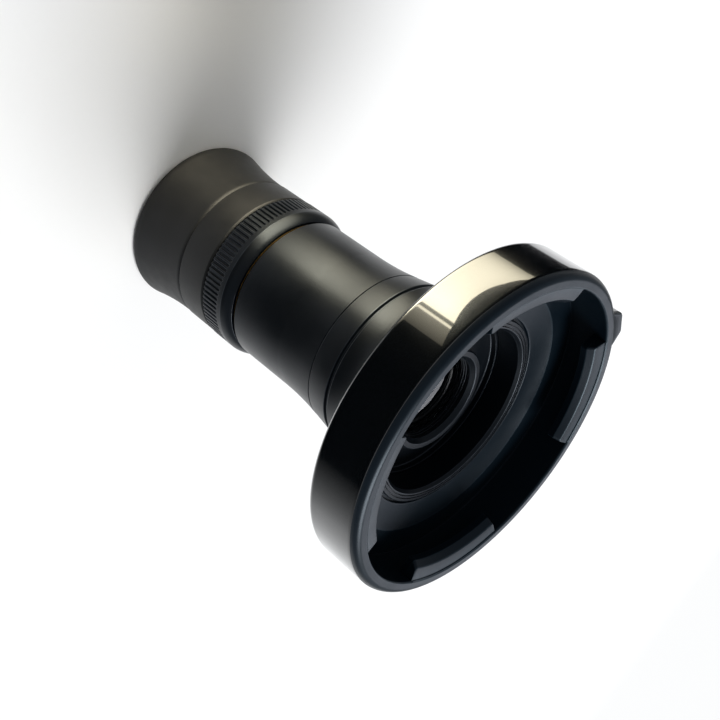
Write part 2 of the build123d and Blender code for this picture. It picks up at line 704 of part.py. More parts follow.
def front_cell():
    """The cell of the front doublet, with its stepped nose and light-trapping ribs."""
    ribs = []
    for number in range(NOSE_RIBS):
        top = NOSE_LIP_TOP - NOSE_RIB_START - number * NOSE_RIB_PITCH
        bottom = top - NOSE_RIB_WIDTH
        wide = NOSE_LIP_RADIUS + NOSE_RIB_DEPTH
        ribs += [(NOSE_LIP_RADIUS, top), (wide, top - NOSE_RIB_SLOPE)]
        ribs += [(wide, bottom + NOSE_RIB_SLOPE), (NOSE_LIP_RADIUS, bottom)]
    seal_rear = FRONT_SEAL_HEIGHT - FRONT_SEAL_CORD
    seal_front = FRONT_SEAL_HEIGHT + FRONT_SEAL_CORD
    seal_floor = CELL_FLANGE - 2 * FRONT_SEAL_CORD
    return turned(
        (FRONT_SEAT, CELL_BACK),
        (CELL_BACK_RADIUS, CELL_BACK),
        (CELL_BACK_RADIUS, CELL_FLANGE_BACK),
        (CELL_FLANGE, CELL_FLANGE_BACK),
        (CELL_FLANGE, seal_rear),
        (seal_floor, seal_rear),
        (seal_floor, seal_front),
        (CELL_FLANGE, seal_front),
        (CELL_FLANGE, WEB_BACK),
        (NOSE_RADIUS, WEB_BACK),
        (NOSE_RADIUS, NOSE_TOP - NOSE_EDGE),
        (NOSE_RADIUS - NOSE_EDGE, NOSE_TOP),
        (NOSE_RADIUS - NOSE_EDGE - NOSE_FACE, NOSE_TOP),
        (NOSE_LIP_RADIUS, NOSE_LIP_TOP),
        *ribs,
        (NOSE_LIP_RADIUS, FRONT_STOP_HEIGHT + FRONT_STOP_SLOPE),
        (FRONT_STOP_RADIUS, FRONT_STOP_HEIGHT),
        (FRONT_SEAT, FRONT_STOP_HEIGHT),
    )


def adapter_neck():
    """The flared neck with the well for the nose and the socket for the main tube."""
    stripe_rear = NECK_STRIPE - NECK_STRIPE_WIDTH / 2
    stripe_front = NECK_STRIPE + NECK_STRIPE_WIDTH / 2
    stripe_floor = NECK_STRIPE_RADIUS - NECK_STRIPE_DEPTH
    return turned(
        (NECK_SOCKET, NECK_SEAM),
        (NECK_SEAM_RADIUS - SEAM_BEVEL, NECK_SEAM),
        (NECK_SEAM_RADIUS, NECK_SEAM + SEAM_BEVEL),
        (NECK_STRIPE_RADIUS, stripe_rear),
        (stripe_floor, stripe_rear + NECK_STRIPE_SLOPE),
        (stripe_floor, stripe_front - NECK_STRIPE_SLOPE),
        (NECK_STRIPE_RADIUS + NECK_STRIPE_STEP, stripe_front),
        (NECK_FLANGE, NECK_FLANGE_FOOT, -NECK_BOW),
        (NECK_FLANGE, REGISTER_FACE),
        (NECK_THREAD, REGISTER_FACE),
        (NECK_THREAD, NECK_THREAD_END),
        (WELL_RADIUS, NECK_THREAD_END),
        (WELL_RADIUS, WELL_FLOOR),
        (WEB_HOLE, WELL_FLOOR),
        (WEB_HOLE, WEB_BACK),
        (NECK_CAVITY, WEB_BACK),
        (NECK_CAVITY, NECK_SOCKET_END),
        (NECK_SOCKET, NECK_SOCKET_END),
    )


def lock_ring():
    """The threaded ring whose flange holds the drum's plate on the neck."""
    steps = [
        (LOCK_SKIRT, LOCK_SKIRT_END),
        (LOCK_SKIRT, LOCK_SEAT),
        (LOCK_FLANGE, LOCK_SEAT),
        (LOCK_FLANGE, LOCK_TOP - LOCK_EDGE),
        (LOCK_FLANGE - LOCK_EDGE, LOCK_TOP),
    ]
    floor = LOCK_TOP - LOCK_GROOVE_DEPTH
    for offset in LOCK_GROOVE_OFFSETS:
        outer = LOCK_BORE + offset + LOCK_GROOVE_WIDTH / 2
        inner = LOCK_BORE + offset - LOCK_GROOVE_WIDTH / 2
        steps += [(outer, LOCK_TOP), (outer, floor), (inner, floor), (inner, LOCK_TOP)]
    steps += [(LOCK_BORE + LOCK_MOUTH_WIDTH, LOCK_TOP), (LOCK_BORE, LOCK_TOP - LOCK_MOUTH_DEPTH)]
    return turned((LOCK_BORE, LOCK_SKIRT_END), *steps)


def bayonet_tabs():
    """The inward tabs, cut as stretches from one turned ring with a sloped front."""
    root = CAVITY_RADIUS + TAB_SINK
    ring = turned(
        (TAB_INNER, TAB_BACK),
        (root, TAB_BACK),
        (root, TAB_ROOT_TOP),
        (CAVITY_RADIUS, TAB_ROOT_TOP),
        (TAB_INNER + TAB_SLOPE_WIDTH, TAB_TIP_TOP + TAB_SLOPE_HEIGHT),
        (TAB_INNER, TAB_TIP_TOP),
    )
    halfway = (TAB_INNER + CAVITY_RADIUS) / 2
    tabs = []
    for number in range(TAB_COUNT):
        centre = TAB_CENTRE + number * 360.0 / TAB_COUNT
        tab = ring & sector(centre, TAB_WIDTH, DRUM_RADIUS, TAB_BACK - CUT_MARGIN, RIM_TOP)
        upright = [(edge, edge.center()) for edge in upright_edges(tab)]
        corners = [edge for edge, middle in upright if math.hypot(middle.X, middle.Y) < halfway]
        tabs.append(fillet(corners, TAB_CORNER))
    return tabs


def ear():
    """The ear that stands out of the rim on the +X side."""
    inside = (CAVITY_RADIUS + RIM_OUTER) / 2
    root = DRUM_RADIUS - EAR_SINK
    corners = [
        polar(inside, -EAR_ROOT_HALF_ANGLE),
        polar(root, -EAR_ROOT_HALF_ANGLE),
        polar(EAR_TIP, -EAR_TIP_HALF_ANGLE),
        polar(EAR_TIP, EAR_TIP_HALF_ANGLE),
        polar(root, EAR_ROOT_HALF_ANGLE),
        polar(inside, EAR_ROOT_HALF_ANGLE),
    ]
    outline = make_face(Polyline(*corners, close=True))
    block = extrude(Pos(0, 0, EAR_BACK) * outline, EAR_THICKNESS)
    tips = [edge for edge in upright_edges(block) if edge.center().X > (DRUM_RADIUS + EAR_TIP) / 2]
    block = fillet(tips, EAR_CORNER)
    outer_rim = [edge for edge in block.edges().group_by(Axis.Z)[-1] if edge.center().X > DRUM_RADIUS]
    return chamfer(outer_rim, EAR_EDGE)


def bayonet_ring():
    """The glossy drum: wall, rim, dished floor plate, tabs and ear."""
    back = DRUM_BACK_ROUNDING
    drum = turned(
        (PLATE_HOLE, REGISTER_FACE),
        (REGISTER_RADIUS, REGISTER_FACE),
        (REGISTER_RADIUS, DRUM_BACK),
        (DRUM_RADIUS - back, DRUM_BACK),
        (DRUM_RADIUS, DRUM_BACK + back, quarter_bow(back)),
        (DRUM_RADIUS, DRUM_EDGE),
        (RIM_OUTER, RIM_TOP, RIM_BOW),
        (CAVITY_RADIUS + RIM_BEVEL, RIM_TOP),
        (CAVITY_RADIUS, RIM_TOP - RIM_BEVEL),
        (CAVITY_RADIUS, FLOOR_HEIGHT),
        (DISH_RADIUS, FLOOR_HEIGHT),
        (DISH_INNER, DISH_FOOT, -DISH_BOW),
        (DISH_INNER, LOCK_SEAT),
        (PLATE_HOLE, LOCK_SEAT),
    )
    for tab in bayonet_tabs():
        drum += tab
    return drum + ear()


PIECES = (
    bayonet_ring, lock_ring, adapter_neck, front_cell, front_crown, front_flint, front_retainer, front_seal,
    main_tube, field_stop, baffle_tube, thrust_washer, ring_circlip, dioptre_ring, cam_sleeve, eye_cell,
    field_lens, lens_spacer, eye_crown, eye_flint, eye_retainer, slide_seal, eye_collar, eyecup,
)

os.makedirs("parts", exist_ok=True)
for piece in PIECES:
    export_step(piece(), f"parts/{piece.__name__}.step")
for number in range(PIN_COUNT):
    export_step(pin_shape(number), f"parts/drive_pin_{number + 1}.step")
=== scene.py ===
# %% [markdown]
# # A loupe eyepiece, dressed for its picture
# The shape, the joints and the sizes of this eyepiece come from its imported CAD model. Loading that model
# first gives a fixed frame: every CAD piece already sits where it belongs, in metres, standing on its
# rubber eyecup with the bayonet opening up.

import json

import bmesh
import bpy
import numpy as np
from mathutils import Matrix, Vector


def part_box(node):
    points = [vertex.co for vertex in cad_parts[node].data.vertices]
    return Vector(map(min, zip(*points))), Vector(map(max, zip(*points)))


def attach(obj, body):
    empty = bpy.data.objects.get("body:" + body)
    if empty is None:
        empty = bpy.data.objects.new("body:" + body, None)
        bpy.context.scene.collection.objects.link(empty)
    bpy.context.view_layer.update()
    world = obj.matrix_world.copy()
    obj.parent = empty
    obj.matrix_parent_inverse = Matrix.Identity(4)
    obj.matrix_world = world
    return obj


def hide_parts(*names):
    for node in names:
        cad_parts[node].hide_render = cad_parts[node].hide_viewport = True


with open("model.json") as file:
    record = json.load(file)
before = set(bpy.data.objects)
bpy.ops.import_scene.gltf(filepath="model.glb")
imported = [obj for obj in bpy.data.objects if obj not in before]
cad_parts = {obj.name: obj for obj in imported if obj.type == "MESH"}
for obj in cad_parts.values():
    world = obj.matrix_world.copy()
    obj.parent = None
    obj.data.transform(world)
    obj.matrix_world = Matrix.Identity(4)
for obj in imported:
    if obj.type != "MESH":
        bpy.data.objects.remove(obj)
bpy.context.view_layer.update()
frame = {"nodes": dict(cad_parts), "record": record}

# %% [markdown]
# ## The camera
# The picture was taken with the opening turned towards the lens and the eyepiece lying across the frame.
# The camera could be aimed with a Track To constraint, but that can't roll it. Writing its three axes into
# the matrix sets the place, the aim and the roll in one step: the columns are its right, its up and the way
# back from the lens.

# %% Place the camera
camera_data = bpy.data.cameras.new("camera")
camera_data.lens = 54.18
camera_data.sensor_width = 36.0
camera_data.clip_start = 0.01
camera_data.clip_end = 20.0
camera = bpy.data.objects.new("camera", camera_data)
bpy.context.scene.collection.objects.link(camera)
camera_right = (0.72056, -0.13002, 0.68110)
camera_up = (0.59960, 0.61016, -0.51786)
camera_back = (-0.34825, 0.78153, 0.51761)
camera_place = Vector((-0.077935, 0.167399, 0.167009))
camera.matrix_world = Matrix((camera_right, camera_up, camera_back)).transposed().to_4x4()
camera.location = camera_place
bpy.context.scene.camera = camera
print("camera to drum in mm:", round((camera_place - Vector((0, 0, 0.08))).length * 1000))

# %% [markdown]
# ## Nodes in one line each
# A finish is a small tree of shader nodes. Clicking them together by hand is fine for one, but here every
# finish is written down, so one helper adds any node, sets its own fields, fills its sockets and links what
# feeds it. Colours are written as people know them, in sRGB hex, and one function turns them into the
# linear light Blender works in.

# %% Helpers for colours and nodes
def linear(code):
    """An sRGB hex code as linear RGBA: below 0.04045 a twelfth, above it the 2.4 power curve."""
    srgb = np.array([int(code[i:i + 2], 16) for i in (1, 3, 5)]) / 255
    light = np.where(srgb <= 0.04045, srgb / 12.92, ((srgb + 0.055) / 1.055) ** 2.4)
    return (*light.tolist(), 1.0)


def add(tree, kind, fields=None, **sockets):
    """Adds a node, sets its fields and fills its sockets with values or links. Underscores mean spaces."""
    node = tree.nodes.new(kind)
    for field, value in (fields or {}).items():
        setattr(node, field, value)
    for name, value in sockets.items():
        words = name.replace("_", " ")
        socket = next(s for s in node.inputs if s.name.lower() == words and s.enabled)
        if isinstance(value, bpy.types.NodeSocket):
            tree.links.new(value, socket)
        else:
            socket.default_value = value
    return node


def finish(name, **sockets):
    """A new material with one Principled shader, whose sockets are filled as given. Returns both."""
    material = bpy.data.materials.new(name)
    material.use_nodes = True
    material.node_tree.nodes.clear()
    shader = add(material.node_tree, "ShaderNodeBsdfPrincipled", **sockets)
    add(material.node_tree, "ShaderNodeOutputMaterial", surface=shader.outputs["BSDF"])
    return material, shader


def feed(material, shader, **sockets):
    """Links node outputs into the shader's sockets, named with underscores."""
    for name, value in sockets.items():
        words = name.replace("_", " ")
        socket = next(s for s in shader.inputs if s.name.lower() == words and s.enabled)
        material.node_tree.links.new(value, socket)


print("black anodising in linear light:", [round(v, 4) for v in linear("#17181b")])

# %% [markdown]
# ## The floor and the room
# The object stands on plain pale paper under an even sky. A soft sun, a lamp at infinity with a wide disc,
# brings the paper up to white and gives the object its gentle shadow. It stands behind the object, because
# a lamp near the camera would wash out the black metal.

# %% Lay the paper and light the room
PAPER_REACH = 4.0
PAPER_HEIGHT = -0.0001
paper_mesh = bpy.data.meshes.new("paper")
paper_signs = ((-1, -1), (1, -1), (1, 1), (-1, 1))
paper_corners = [(x * PAPER_REACH, y * PAPER_REACH, PAPER_HEIGHT) for x, y in paper_signs]
paper_mesh.from_pydata(paper_corners, [], [(0, 1, 2, 3)])
paper = bpy.data.objects.new("paper", paper_mesh)
bpy.context.scene.collection.objects.link(paper)
paper_finish, _ = finish("pale_paper", base_color=linear("#f3f3f2"), roughness=0.9)
paper_mesh.materials.append(paper_finish)

world = bpy.data.worlds.new("room")
bpy.context.scene.world = world
world.use_nodes = True
world.node_tree.nodes["Background"].inputs["Color"].default_value = linear("#eef2f8")
world.node_tree.nodes["Background"].inputs["Strength"].default_value = 0.3

SUN_SIDE = np.radians(-118.0)
SUN_HEIGHT = np.radians(56.0)
sun_data = bpy.data.lights.new("soft_sun", "SUN")
sun_data.angle = np.radians(35.0)
sun_data.energy = 3.2
sun = bpy.data.objects.new("soft_sun", sun_data)
bpy.context.scene.collection.objects.link(sun)
sun_level = np.cos(SUN_HEIGHT)
sun_way = Vector((np.cos(SUN_SIDE) * sun_level, np.sin(SUN_SIDE) * sun_level, np.sin(SUN_HEIGHT)))
sun.rotation_mode = "QUATERNION"
sun.rotation_quaternion = (-sun_way).to_track_quat("-Z", "Y")
print("sun and sky set")

# %% [markdown]
# ## Softboxes and a flag, all outside the picture
# Black parts are drawn by what they mirror, so a photographer of black parts places shapes round them. A
# window of light stands to the right, just beyond the top edge of the picture, and is brightest at one
# side: it gives the cream streak on the drum and the soft one down the tube. A pale box far behind is a
# second, fainter light. And a black flag lies on the table beyond the picture's edge, so that the side
# turned to the camera mirrors black instead of paper. At its left end the flag fades to the paper's white,
# so the drum turns grey there. The window and the flag serve reflections alone, and no camera sees any of
# the three.

# %% Place the softboxes and the flag
def softbox(name, place, aim, width, height, glow, colour):
    """A rectangular lamp at a place in mm, facing the aim. At a glow of 1 it looks like white paper."""
    data = bpy.data.lights.new(name, "AREA")
    data.shape = "RECTANGLE"
    data.size = width / 1000
    data.size_y = height / 1000
    data.energy = glow * np.pi * data.size * data.size_y
    data.color = linear(colour)[:3]
    lamp = bpy.data.objects.new(name, data)
    bpy.context.scene.collection.objects.link(lamp)
    way = (Vector(aim) - Vector(place)) / 1000
    lamp.rotation_mode = "QUATERNION"
    lamp.rotation_quaternion = way.to_track_quat("-Z", "Y")
    lamp.location = Vector(place) / 1000
    lamp.visible_camera = False
    return lamp


def graded(lamp, stops):
    """Grades a softbox from its left to its right. A stop is (share of the width, how much of the glow)."""
    lamp.data.use_nodes = True
    tree = lamp.data.node_tree
    share = add(tree, "ShaderNodeNewGeometry").outputs["Parametric"]
    across = add(tree, "ShaderNodeSeparateXYZ", vector=share).outputs["X"]
    ramp = add(tree, "ShaderNodeValToRGB", fac=across)
    ramp.color_ramp.elements[0].position = stops[0][0]
    ramp.color_ramp.elements[0].color = linear_grey(stops[0][1])
    ramp.color_ramp.elements[1].position = stops[-1][0]
    ramp.color_ramp.elements[1].color = linear_grey(stops[-1][1])
    for place, glow in stops[1:-1]:
        ramp.color_ramp.elements.new(place).color = linear_grey(glow)
    emission = tree.nodes["Emission"]
    tree.links.new(ramp.outputs["Color"], emission.inputs["Color"])


def linear_grey(value):
    """A grey of the given linear value, as RGBA."""
    return (value, value, value, 1.0)


WINDOW_SIDE = np.radians(66.0)
WINDOW_REACH = 62.0
WINDOW_MIDDLE = 34.5
WINDOW_WIDTH = 72
WINDOW_TALL = 67
WINDOW_GLOW = 25.0
WINDOW_STOPS = [
    (0.0, 0.1), (0.2, 0.35), (0.5, 0.7), (0.72, 1.0), (0.80, 1.0), (0.81, 0.1), (0.83, 0.1), (0.84, 0.8),
    (0.85, 0.8), (0.86, 0.16), (1.0, 0.05),
]
window_place = (WINDOW_REACH * np.cos(WINDOW_SIDE), WINDOW_REACH * np.sin(WINDOW_SIDE), WINDOW_MIDDLE)
window_aim = (0, 0, WINDOW_MIDDLE)
window = softbox("window", window_place, window_aim, WINDOW_WIDTH, WINDOW_TALL, WINDOW_GLOW, "#fff4d6")
window.visible_diffuse = False
graded(window, WINDOW_STOPS)

PALE_BOX_PLACE = (238, -489, 334)
PALE_BOX_AIM = (0, 0, 80)
PALE_BOX_SIDE = 330
PALE_BOX_GLOW = 1.4
softbox("pale_box", PALE_BOX_PLACE, PALE_BOX_AIM, PALE_BOX_SIDE, PALE_BOX_SIDE, PALE_BOX_GLOW, "#f4f6ff")

FLAG_HEIGHT = 0.0005
FLAG_CORNERS = [
    (-0.022, 0.070), (-0.104, -0.107), (-0.6, -0.5), (-0.6, 0.7), (0.7, 0.7), (0.7, -0.332), (0.206, -0.057),
]
FADE_START = -3.14
FADE_END = -2.5
FADE_LIMIT = -2.0
flag_mesh = bpy.data.meshes.new("flag")
flag_points = [(x, y, FLAG_HEIGHT) for x, y in FLAG_CORNERS]
flag_mesh.from_pydata(flag_points, [], [(0, 1, 2, 3), (0, 3, 4), (0, 4, 5, 6)])
flag = bpy.data.objects.new("flag", flag_mesh)
bpy.context.scene.collection.objects.link(flag)
flag.visible_camera = False
flag.visible_diffuse = False
flag.visible_shadow = False
flag_finish, flag_shader = finish("graded_flag", roughness=1.0, specular_ior_level=0.0)
flag_tree = flag_finish.node_tree
flag_spot = add(flag_tree, "ShaderNodeTexCoord").outputs["Object"]
flag_place = add(flag_tree, "ShaderNodeSeparateXYZ", vector=flag_spot)
flag_turn = add(flag_tree, "ShaderNodeMath", {"operation": "ARCTAN2"})
flag_tree.links.new(flag_place.outputs["Y"], flag_turn.inputs[0])
flag_tree.links.new(flag_place.outputs["X"], flag_turn.inputs[1])
flag_fade = add(flag_tree, "ShaderNodeMapRange", value=flag_turn.outputs[0], from_min=FADE_START,
                from_max=FADE_END)
flag_side = add(flag_tree, "ShaderNodeMath", {"operation": "LESS_THAN"})
flag_tree.links.new(flag_turn.outputs[0], flag_side.inputs[0])
flag_side.inputs[1].default_value = FADE_LIMIT
flag_white = add(flag_tree, "ShaderNodeMath", {"operation": "MULTIPLY"})
flag_tree.links.new(flag_fade.outputs["Result"], flag_white.inputs[0])
flag_tree.links.new(flag_side.outputs[0], flag_white.inputs[1])
flag_colour = add(flag_tree, "ShaderNodeMix", {"data_type": "RGBA"}, factor=flag_white.outputs[0])
flag_colour.inputs[6].default_value = linear("#0b0d10")
flag_colour.inputs[7].default_value = linear("#f3f3f2")
feed(flag_finish, flag_shader, base_color=flag_colour.outputs[2])
flag_mesh.materials.append(flag_finish)

# %% [markdown]
# ## Anodised aluminium
# The drum, neck, tube and ring are turned aluminium, dyed black in the pores of a hard clear oxide. The dye
# swallows most of the light and the sealed oxide mirrors the rest. A plain black plastic shader would look
# flat, so each finish is a dark, half metallic base. The drum was polished before the bath, so a clear coat
# over its base mirrors the lamps sharply. The others were blasted with fine beads and have no coat. The
# blasting is a bump about a fifth of a millimetre across, coarser than the real one so that it shows.

# %% Mix the anodised finishes
OXIDE_IOR = 1.45


def grain(tree, size, detail=3.0):
    """A noise whose blobs are about as wide as size, in mm, over the piece's own coordinates."""
    place = add(tree, "ShaderNodeTexCoord").outputs["Object"]
    noise = add(tree, "ShaderNodeTexNoise", vector=place, scale=1000.0 / size, detail=detail, roughness=0.6)
    return noise.outputs["Fac"]


def spread_to(tree, value, low, high):
    """A value of about 0.3 to 0.7, as noise gives it, spread from low to high."""
    node = add(tree, "ShaderNodeMapRange", value=value, from_min=0.3, from_max=0.7, to_min=low, to_max=high)
    return node.outputs["Result"]


def anodised(name, dye, wear_and_highlight_colour, metal, roughness, coat, coat_roughness, bead, bead_depth):
    """Black anodised aluminium. Where the attribute edge is high, it turns towards the lighter second colour: wear,
    and a painted highlight on rounds and crests.
    """
    material, shader = finish(
        name, metallic=metal, specular_ior_level=0.3, coat_weight=coat, coat_roughness=coat_roughness,
        coat_ior=OXIDE_IOR,
    )
    tree = material.node_tree
    # The edge attribute paints rounds, tab corners, knurl crests and the rim face lighter: partly wear, partly
    # painted highlight.
    edge = add(tree, "ShaderNodeAttribute", {"attribute_name": "edge"}).outputs["Fac"]
    patches = grain(tree, 1.7)
    wear_and_highlight_share = add(tree, "ShaderNodeMath", {"operation": "MULTIPLY"})
    tree.links.new(edge, wear_and_highlight_share.inputs[0])
    tree.links.new(spread_to(tree, patches, 0.35, 1.0), wear_and_highlight_share.inputs[1])
    colour = add(tree, "ShaderNodeMix", {"data_type": "RGBA"}, factor=wear_and_highlight_share.outputs[0])
    colour.inputs[6].default_value = linear(dye)
    colour.inputs[7].default_value = linear(wear_and_highlight_colour)
    bump = add(tree, "ShaderNodeBump", height=grain(tree, bead, 1.0), strength=bead_depth, distance=0.00002)
    feed(material, shader, base_color=colour.outputs[2], normal=bump.outputs["Normal"],
         roughness=spread_to(tree, grain(tree, 6.0), roughness - 0.03, roughness + 0.03))
    return material


# The polished drum: it mirrors the lamps with a crisp edge, so the eye reads it as hard and smooth.
gloss_anodised = anodised(
    "gloss_black_anodised_aluminium", "#0f1418", "#2c3035", metal=0.6, roughness=0.2, coat=1.0,
    coat_roughness=0.03, bead=0.3, bead_depth=0.03,
)
# The inside of the drum: a blue-black without mirror images, so the eye reads it as deep.
cavity_anodised = anodised(
    "satin_black_anodised_cavity", "#0a1822", "#223039", metal=0.4, roughness=0.36, coat=0.0,
    coat_roughness=0.2, bead=0.2, bead_depth=0.4,
)
# Neck, tube, ring and nose: one wide soft streak, which shows that they are round.
satin_anodised = anodised(
    "satin_black_anodised_aluminium", "#0e151c", "#363c43", metal=0.5, roughness=0.33, coat=0.0,
    coat_roughness=0.2, bead=0.2, bead_depth=0.5,
)
# Cells, spacers and baffles: nearly no sheen, as nothing inside a tube may throw light back.
matt_anodised = anodised(
    "matt_black_anodised_aluminium", "#0d1013", "#24272b", metal=0.4, roughness=0.6, coat=0.0,
    coat_roughness=0.5, bead=0.25, bead_depth=0.7,
)
print("anodised finishes:", gloss_anodised.name, satin_anodised.name, matt_anodised.name)

# %% [markdown]
# ## Rubber, coating, glass and the small metals
# The eyecup is moulded rubber: nearly black, with a soft sheen from its fine mould texture. The collar
# beside it has a rubbery lacquer that looks the same but smoother. The lenses are plain optical glass with
# an index of 1.62, and the coating that real ones have isn't drawn. Pins and snap ring are ground steel,
# the sleeve is turned brass and the washer is black acetal.

# %% Mix the other finishes
def moulded(name, colour, dusty, roughness, texture, depth):
    """Rubber or plastic from a textured mould, a little lighter where handling has left a bloom."""
    material, shader = finish(name, specular_ior_level=0.25)
    tree = material.node_tree
    bloom = spread_to(tree, grain(tree, 5.0), 0.0, 1.0)
    tone = add(tree, "ShaderNodeMix", {"data_type": "RGBA"}, factor=bloom)
    tone.inputs[6].default_value = linear(colour)
    tone.inputs[7].default_value = linear(dusty)
    bump = add(tree, "ShaderNodeBump", height=grain(tree, texture, 2.0), strength=depth, distance=0.00004)
    feed(material, shader, base_color=tone.outputs[2], normal=bump.outputs["Normal"],
         roughness=spread_to(tree, grain(tree, 2.5), roughness - 0.04, roughness + 0.04))
    return material


def turned_metal(name, colour, roughness):
    """Bare turned metal, with the fine rings that the tool leaves, about 0.2 mm apart along the axis."""
    material, shader = finish(name, base_color=linear(colour), metallic=1.0)
    tree = material.node_tree
    place = add(tree, "ShaderNodeTexCoord").outputs["Object"]
    rings = add(tree, "ShaderNodeTexWave", {"wave_type": "BANDS", "bands_direction": "Z"}, vector=place,
                scale=1000.0 / 0.6, distortion=0.4)
    bump = add(tree, "ShaderNodeBump", height=rings.outputs["Fac"], strength=0.3, distance=0.00001)
    feed(material, shader, normal=bump.outputs["Normal"],
         roughness=spread_to(tree, grain(tree, 1.5), roughness - 0.05, roughness + 0.08))
    return material


# The eyecup: light without any edge, so the eye reads it as soft.
cup_rubber = moulded("moulded_black_rubber", "#0d0f11", "#15171a", 0.5, 0.35, 0.35)
# The collar: the same black, a little smoother, so the seam to the rubber shows.
collar_lacquer = moulded("soft_touch_lacquer", "#0e1012", "#16181a", 0.44, 0.2, 0.2)
# The two O-rings: a dull black that stays apart from the metal round it.
seal_rubber = moulded("nitrile_rubber", "#101011", "#1a1a1a", 0.5, 0.4, 0.2)
# The thrust washer: the plain sheen of machined plastic.
acetal = moulded("black_acetal", "#0c0c0d", "#141414", 0.4, 0.4, 0.15)
# Pins and snap ring: bare bright metal, so the moving parts stand out once the eyepiece is open.
ground_steel = turned_metal("ground_spring_steel", "#a9abae", 0.3)
# The cam sleeve: the yellow of a bearing metal among black parts.
turned_brass = turned_metal("turned_brass", "#c9a463", 0.32)
# The lenses: clear, so the eye looks through them into the dark of the tube.
coated_glass, _ = finish(
    "coated_optical_glass", base_color=linear("#f4f8fa"), roughness=0.0, ior=1.62, transmission_weight=1.0,
)
print("other finishes:", [m.name for m in bpy.data.materials if "anodised" not in m.name])

# %% [markdown]
# ## Give every CAD node its finish
# Most CAD nodes already have the right shape, so they stay and only swap their material. Looking the finish
# up by the slot that the record names keeps this short and safe: a node that is added later gets its finish
# too.

# %% Dress the CAD nodes
FINISH_OF_SLOT = {
    "gloss_anodised": gloss_anodised,
    "satin_anodised": satin_anodised,
    "matt_black": matt_anodised,
    "collar_coating": collar_lacquer,
    "eyecup_rubber": cup_rubber,
    "seal_rubber": seal_rubber,
    "lens_glass": coated_glass,
    "spring_steel": ground_steel,
    "sleeve_brass": turned_brass,
    "washer_plastic": acetal,
}
slot_of_node = {part["node"]: part["material_slot"] for part in frame["record"]["subparts"]}
for node, piece in frame["nodes"].items():
    piece.data.materials.clear()
    piece.data.materials.append(FINISH_OF_SLOT[slot_of_node[node]])
print("nodes dressed:", len(slot_of_node))

# %% [markdown]
# ## Carry a section round the axis
# Nearly all of this object was made on a lathe, so a piece is a half section carried once round the optical
# axis. Blender's Screw modifier could do it, but working the grid out with numpy keeps every edge under
# control: real edges are never sharp, and it is their tiny rounding that catches the light. So each corner
# of the section is replaced by a short round, with one more point just outside it on both sides, which
# keeps the flats flat.

# %% Helpers for turned pieces
EASE = 0.07
TURN_STEPS = 240


def arc(start, end, bow, count=14):
    """Inner points of a shallow arc. At share s it is the chord's point, moved 4*bow*s*(1-s) to the right."""
    start, end = np.array(start), np.array(end)
    share = np.linspace(0, 1, count + 2)[1:-1, None]
    along = (end - start) / np.linalg.norm(end - start)
    off = np.array((along[1], -along[0])) * 4 * bow * share * (1 - share)
    return [(*point, 0.0) for point in start + (end - start) * share + off]


def eased(corners, ease=EASE, steps=4):
    """The closed section with rounded corners, as (radius, height, edge) rows.

    A corner is (radius, height) or (radius, height, its own ease). Its round is the curve
    (1-s)^2 a + 2s(1-s) p + s^2 b from a point a on one leg to a point b on the other, both at the ease from
    the corner p.
    """
    rows = np.array([(*c, ease)[:3] for c in corners], float)
    point, reach = rows[:, :2], rows[:, 2:]
    to_last = np.roll(point, 1, 0) - point
    to_next = np.roll(point, -1, 0) - point
    long_last = np.linalg.norm(to_last, axis=1, keepdims=True)
    long_next = np.linalg.norm(to_next, axis=1, keepdims=True)
    to_last /= np.maximum(long_last, 1e-9)
    to_next /= np.maximum(long_next, 1e-9)
    reach = np.minimum(reach, 0.4 * np.minimum(long_last, long_next))
    share = np.linspace(0, 1, steps)[None, :, None]
    first = point + to_last * reach
    last = point + to_next * reach
    bend = (1 - share) ** 2 * first[:, None] + 2 * share * (1 - share) * point[:, None]
    bend = bend + share ** 2 * last[:, None]
    before = point + to_last * reach * 1.2
    after = point + to_next * reach * 1.2
    outline = np.concatenate((before[:, None], bend, after[:, None]), 1)
    # edge is 1 on each round, where the anodised finishes paint a lighter line: partly wear, partly painted
    # highlight.
    edge = np.zeros(outline.shape[:2])
    edge[:, 1:-1] = reach > 0
    outline = np.dstack((outline, edge)).reshape(-1, 3)
    step = np.linalg.norm(np.roll(outline, -1, 0)[:, :2] - outline[:, :2], axis=1)
    return outline[step > 1e-5]


def skin(name, radius, height, angle, edge, material, node_names, body, closed=True):
    """A piece from its grid in mm: point (i, j) is (r_ij cos a_i, r_ij sin a_i, z_ij). Doubles are merged."""
    turns, count = radius.shape
    x = radius * np.cos(angle)[:, None]
    y = radius * np.sin(angle)[:, None]
    points = np.dstack((x, y, height)).reshape(-1, 3) / 1000
    i, j = np.meshgrid(np.arange(turns), np.arange(count if closed else count - 1), indexing="ij")
    here = i * count + j
    up = i * count + (j + 1) % count
    across = (i + 1) % turns * count + j
    both = (i + 1) % turns * count + (j + 1) % count
    faces = np.dstack((here, across, both, up)).reshape(-1, 4)
    mesh = bpy.data.meshes.new(name)
    mesh.from_pydata(points, [], faces.tolist())
    # The edge layer, read by the anodised finishes for wear and painted highlight.
    wear_and_highlight_layer = mesh.attributes.new("edge", "FLOAT", "POINT")
    wear_and_highlight_layer.data.foreach_set("value", np.broadcast_to(edge, radius.shape).reshape(-1).astype(np.float32))
    work = bmesh.new()
    work.from_mesh(mesh)
    bmesh.ops.remove_doubles(work, verts=work.verts, dist=1e-8)
    bmesh.ops.recalc_face_normals(work, faces=work.faces)
    work.to_mesh(mesh)
    work.free()
    mesh.shade_smooth()
    mesh.set_sharp_from_angle(angle=np.radians(50))
    mesh.materials.append(material)
    piece = bpy.data.objects.new(name, mesh)
    bpy.context.scene.collection.objects.link(piece)
    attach(piece, body)
    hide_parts(*node_names)
    print(f"{name}: {len(mesh.polygons)} faces")
    return piece


